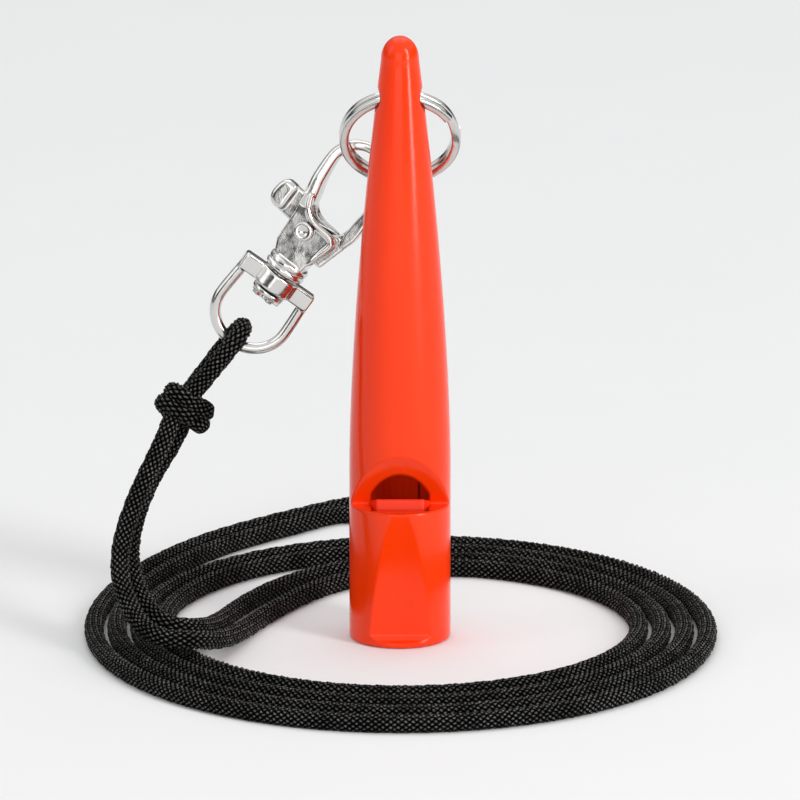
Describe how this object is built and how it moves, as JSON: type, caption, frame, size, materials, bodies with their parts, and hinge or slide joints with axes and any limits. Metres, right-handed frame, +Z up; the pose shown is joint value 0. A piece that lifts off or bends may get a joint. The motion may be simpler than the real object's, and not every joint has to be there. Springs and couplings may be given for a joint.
{
  "type": "dog whistle with neck cord",
  "caption": "Tapered plastic whistle with a front window, on a split ring, a swivel trigger clasp and a coiled, knotted neck cord.",
  "frame": {"origin": "centre of the whistle's flat mouth end, on the surface that the whistle and the coil stand on", "axes": "+Z up along the whistle to its tip, +X to the viewer's right, +Y away from the viewer; the window faces -Y"},
  "size_m": [0.0834, 0.1094, 0.082],
  "materials": {
    "orange_plastic": "glossy moulded plastic",
    "orange_plastic_inside": "moulded plastic, less polished",
    "nickel": "bright nickel plate",
    "spring_steel": "drawn wire",
    "black_cord": "braided, slightly shiny"
  },
  "bodies": {
    "cord": {"cord_loop": "black_cord", "cord_knot": "black_cord", "cord_rise_left": "black_cord", "cord_rise_right": "black_cord", "cord_coil": "black_cord"},
    "swivel_eye": {"swivel_eye": "nickel"},
    "hook": {"hook_frame": "nickel", "lever_rivet": "nickel", "lever_spring": "spring_steel"},
    "lever": {"trigger_lever": "nickel"},
    "ring": {"split_ring": "nickel"},
    "whistle": {"whistle_body": "orange_plastic", "fipple_block": "orange_plastic_inside"}
  },
  "joints": [
    {"name": "eye_on_cord", "type": "hinge", "parent": "cord", "child": "swivel_eye", "pos_m": [-0.0223, 0.00637, 0.03877], "axis": [0.8121, 0, -0.5835], "range_deg": [-60, 60], "deforming": ["cord_coil", "cord_rise_left", "cord_rise_right"]},
    {"name": "swivel", "type": "hinge", "parent": "swivel_eye", "child": "hook", "pos_m": [-0.01168, 0.00637, 0.05355], "axis": [0.5835, 0, 0.8121], "continuous": true},
    {"name": "trigger", "type": "hinge", "parent": "hook", "child": "lever", "pos_m": [-0.01214, 0.00655, 0.05388], "axis": [-0.2456, -0.9532, 0.1765], "range_deg": [0, 28], "stiffness_Nm_per_rad": 0.004, "springref_deg": -17.19, "deforming": ["lever_spring"]},
    {"name": "ring_in_hook", "type": "hinge", "parent": "hook", "child": "ring", "pos_m": [0, 0.00352, 0.0674], "axis": [0, -0.866, -0.5], "range_deg": [0, 70]},
    {"name": "whistle_on_ring", "type": "hinge", "parent": "ring", "child": "whistle", "pos_m": [0, 0, 0.0735], "axis": [-1, 0, 0], "range_deg": [0, 120]}
  ]
}
